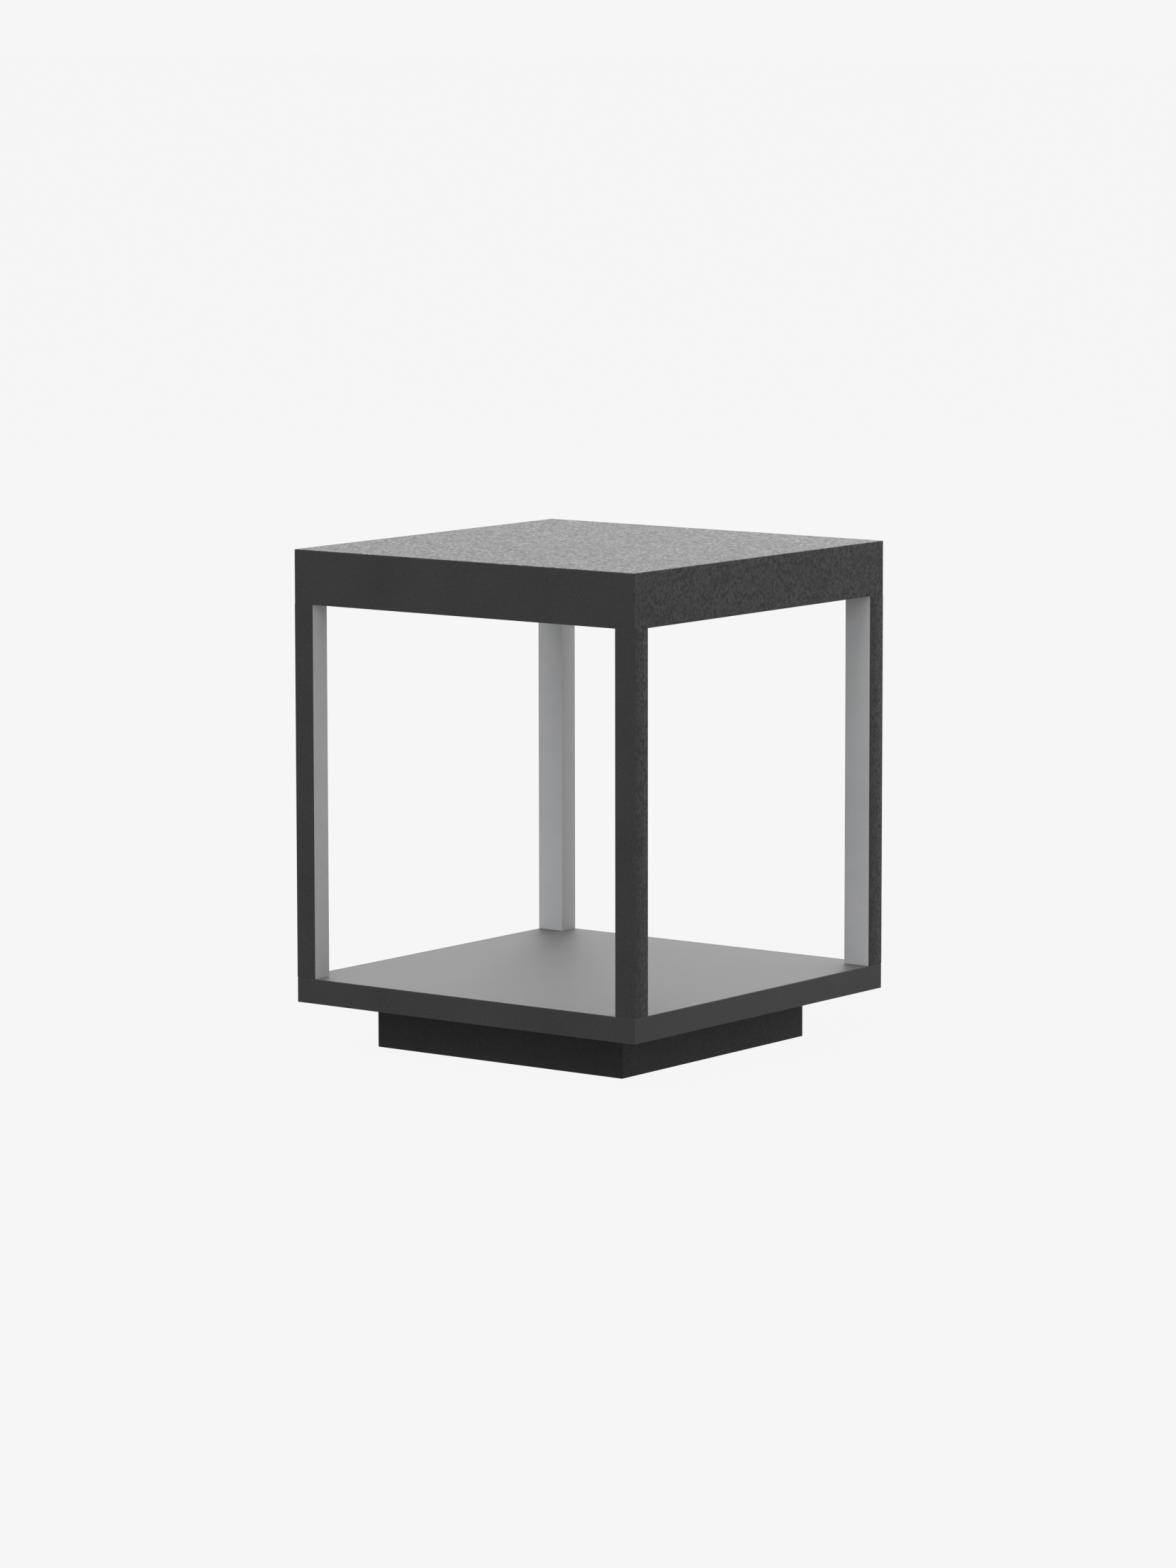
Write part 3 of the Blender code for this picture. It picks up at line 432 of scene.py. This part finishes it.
def make_posts():
    """Dark outer angle and grey inner core of each post, closed up to the head and plate."""
    floor_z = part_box("base_tray")[1].z + SEAM
    ceiling_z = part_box("head_cover")[0].z - SEAM
    corners = (("front_left", -1, -1), ("front_right", 1, -1),
               ("rear_right", 1, 1), ("rear_left", -1, 1))
    for corner, sx, sy in corners:
        box_low, box_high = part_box(f"post_skin_{corner}")
        outer = (box_high.x if sx > 0 else box_low.x, box_high.y if sy > 0 else box_low.y)
        size = box_high - box_low
        outlines = post_outlines(size.x, size.y)
        for kind, outline, radius in zip(("skin", "core"), outlines, (EDGE, SEAM)):
            placed = [(outer[0] - sx * u, outer[1] - sy * v) for u, v in outline]
            shape = bmesh.new()
            ring_shell(shape, [[Vector((*point, z)) for point in filleted(placed, radius)]
                               for z in (floor_z, ceiling_z)])
            add_piece(shape, f"post_{kind}_{corner}")


def turned(shape, profile, centre, axis, segments, hexagonal=(), closed=False):
    """Adds a solid turned about an axis through centre.

    The profile has pairs of a radius and a distance along the axis. The rings whose
    numbers are in hexagonal are hexagons, and their radius is that of the flats.
    """
    along = Vector(axis)
    across = along.orthogonal().normalized()
    other = along.cross(across)
    rings = []
    for number, (radius, level) in enumerate(profile):
        ring = []
        for k in range(segments):
            angle = 2 * math.pi * k / segments
            reach = radius
            if number in hexagonal:
                reach = radius / math.cos((angle % math.radians(60)) - math.radians(30))
            ring.append(centre + along * level
                        + (across * math.cos(angle) + other * math.sin(angle)) * reach)
        rings.append(ring)
    ring_shell(shape, rings, closed)


def make_screw(node, size, up):
    """Socket screw with a chamfered head, a hexagon and a thread of ridges."""
    box_low, box_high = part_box(node)
    middle = (box_low + box_high) / 2
    radius = (box_high.x - box_low.x) / 2
    length = box_high.z - box_low.z
    head = SCREW_HEAD[size]
    flat = HEX_FLAT[size]
    shank = SHANK[size]
    pitch = THREAD_PITCH[size]
    root = shank - THREAD_DEPTH * pitch
    chamfer = HEAD_CHAMFER * radius
    soft = chamfer / 3
    base = Vector((middle.x, middle.y, box_low.z if up > 0 else box_high.z))
    socket = [(flat * 0.9, head * 0.55), (flat, head * 0.5), (flat, chamfer * 0.1)]
    profile = socket + [(flat * 1.1, 0.0), (radius - chamfer, 0.0), (radius, chamfer),
                        (radius, head - soft), (radius - soft, head), (shank, head)]
    level = head + pitch
    while level < length - 2 * pitch:
        profile += [(shank, level), (root, level + pitch / 2)]
        level += pitch
    profile += [(shank, level), (root, length)]
    shape = bmesh.new()
    turned(shape, profile, base, (0, 0, up), SCREW_SEGMENTS, hexagonal=range(len(socket)))
    add_piece(shape, node)


def make_screws():
    """Every screw points up, except the ones from the head down into the posts."""
    kinds = (("head_screw", "m3", 1), ("tray_screw", "m3", 1), ("cover_screw", "m3", 1),
             ("plinth_screw", "m4", 1), ("post_foot_screw", "m4", 1),
             ("post_head_screw", "m4", -1))
    for stem, size, up in kinds:
        for number in range(1, 5):
            make_screw(f"{stem}_{number}", size, up)


def make_feet():
    """Rubber discs with a rounded rim and a round recess underneath."""
    for number in range(1, 5):
        node = f"foot_{number}"
        box_low, box_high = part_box(node)
        radius = (box_high.x - box_low.x) / 2
        thick = box_high.z - box_low.z
        middle = (box_low + box_high) / 2
        base = Vector((middle.x, middle.y, box_low.z))
        recess = [(radius * 0.45, FOOT_RECESS * thick), (radius * 0.5, 0.0)]
        rim = [(radius * 0.88, 0.0), (radius * 0.96, 0.1 * thick), (radius, 0.35 * thick)]
        shape = bmesh.new()
        turned(shape, recess + rim + [(radius, thick)], base, (0, 0, 1), FINE_SEGMENTS)
        add_piece(shape, node)


def make_button():
    """Push button on the rear of the plinth, with a rounded rim and a dished face."""
    box_low, box_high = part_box("power_button")
    middle = (box_low + box_high) / 2
    collar = (box_high.x - box_low.x) / 2
    cap = collar - BUTTON_LIP
    length = box_high.y - box_low.y
    collar_front = length - BUTTON_CAP
    collar_back = collar_front - BUTTON_COLLAR
    profile = [(BUTTON_STEM, 0.0), (BUTTON_STEM, collar_back), (collar, collar_back),
               (collar, collar_front), (cap, collar_front)]
    quarter = [math.radians(90) * step / ARC_STEPS for step in range(ARC_STEPS + 1)]
    for angle in quarter:
        profile.append((cap - BUTTON_RIM * (1 - math.cos(angle)),
                        length - BUTTON_RIM * (1 - math.sin(angle))))
    dish = cap - 2 * BUTTON_RIM
    for step, angle in enumerate(quarter):
        profile.append((dish * (1 - 0.9 * step / ARC_STEPS),
                        length - BUTTON_DISH * math.sin(angle)))
    shape = bmesh.new()
    turned(shape, profile, Vector((middle.x, box_low.y, middle.z)), (0, 1, 0), FINE_SEGMENTS)
    add_piece(shape, "power_button", "button")


def rounded_outline(low, high, radius):
    """Rectangle in X and Z between two corners, with round corners."""
    corners = [(low.x, low.z), (high.x, low.z), (high.x, high.z), (low.x, high.z)]
    return filleted(corners, radius, 6)


def shrunk(outline, inset):
    """The outline with every point moved that far inwards along both its axes."""
    middle = sum(outline, Vector((0.0, 0.0))) / len(outline)
    return [point - Vector((math.copysign(inset, point.x - middle.x),
                            math.copysign(inset, point.y - middle.y))) for point in outline]


def at_depth(outline, y):
    """The points of a flat outline, standing up at that y."""
    return [Vector((point.x, y, point.y)) for point in outline]


def rounded_block(shape, low, high, radius, chamfer):
    """Adds a block with round corners in X and Z and a chamfer round both its Y faces."""
    outline = rounded_outline(low, high, radius)
    inset = shrunk(outline, chamfer)
    ring_shell(shape, [at_depth(inset, low.y), at_depth(outline, low.y + chamfer),
                       at_depth(outline, high.y - chamfer), at_depth(inset, high.y)])


def make_flap():
    """Flap over the charging port, with its barrel, plug and grip, and the pin it turns on."""
    hinge = next(joint for joint in frame["record"]["behaviour"]["joints"]
                 if joint["name"] == "flap_hinge")
    pivot = Vector(hinge["pos_m"])
    box_low, box_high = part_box("port_flap")
    barrel = box_high.z - pivot.z
    width = box_high.x - box_low.x
    shape = bmesh.new()
    profile = [(FLAP_BORE, 0.0), (barrel - FLAP_CHAMFER, 0.0), (barrel, FLAP_CHAMFER),
               (barrel, width - FLAP_CHAMFER), (barrel - FLAP_CHAMFER, width), (FLAP_BORE, width)]
    turned(shape, profile, Vector((box_low.x, pivot.y, pivot.z)), (1, 0, 0), FINE_SEGMENTS,
           closed=True)
    back = pivot.y - barrel
    front = back + FLAP_THICK
    rounded_block(shape, Vector((box_low.x, back, box_low.z)),
                  Vector((box_high.x, front, pivot.z - FLAP_BORE)), FLAP_CORNER, FLAP_CHAMFER)
    middle = (box_low.x + box_high.x) / 2
    plug_x, plug_z = FLAP_PLUG[0] / 2, FLAP_PLUG[1] / 2
    button_low, button_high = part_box("power_button")
    service_z = (button_low.z + button_high.z) / 2
    rounded_block(shape, Vector((middle - plug_x, box_low.y, service_z - plug_z)),
                  Vector((middle + plug_x, back + FLAP_THICK / 2, service_z + plug_z)),
                  FLAP_PLUG[1] * PLUG_ROUND, FLAP_CHAMFER)
    grip_x, grip_z, grip_proud = FLAP_GRIP[0] / 2, FLAP_GRIP[1], FLAP_GRIP[2]
    rounded_block(shape, Vector((middle - grip_x, front - FLAP_THICK / 2, box_low.z)),
                  Vector((middle + grip_x, front + grip_proud, box_low.z + grip_z)),
                  GRIP_CORNER, FLAP_CHAMFER)
    add_piece(shape, "port_flap", "flap")

    pin_low, pin_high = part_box("flap_pin")
    radius = pivot.z - pin_low.z
    length = pin_high.x - pin_low.x
    dome = radius * 0.3
    start = [(radius * 0.3, 0.0), (radius * 0.8, dome * 0.4), (radius, dome)]
    profile = start + [(reach, length - level) for reach, level in reversed(start)]
    shape = bmesh.new()
    turned(shape, profile, Vector((pin_low.x, pivot.y, pivot.z)), (1, 0, 0), SCREW_SEGMENTS)
    add_piece(shape, "flap_pin")


def make_charge_socket():
    """Metal shell with round ends and a tongue inside, behind the flap."""
    box_low, box_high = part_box("charge_socket")
    radius = (box_high.z - box_low.z) * SOCKET_ROUND
    outer = rounded_outline(box_low, box_high, radius)
    inner = shrunk(outer, SOCKET_WALL)
    front, depth = box_high.y, box_high.y - SOCKET_DEPTH
    shape = bmesh.new()
    ring_shell(shape, [at_depth(inner, depth), at_depth(inner, front),
                       at_depth(outer, front), at_depth(outer, box_low.y)])
    middle = (box_low + box_high) / 2
    half_x = TONGUE[0] * (box_high.x - box_low.x)
    half_z = TONGUE[1] * (box_high.z - box_low.z)
    rounded_block(shape, Vector((middle.x - half_x, depth - SOCKET_WALL, middle.z - half_z)),
                  Vector((middle.x + half_x, front - TONGUE_BACK, middle.z + half_z)),
                  half_z, half_z * TONGUE_CHAMFER)
    add_piece(shape, "charge_socket")


make_camera()
make_world()
make_softboxes()
make_floor()
dress_nodes()
make_posts()
make_screws()
make_feet()
make_button()
make_flap()
make_charge_socket()
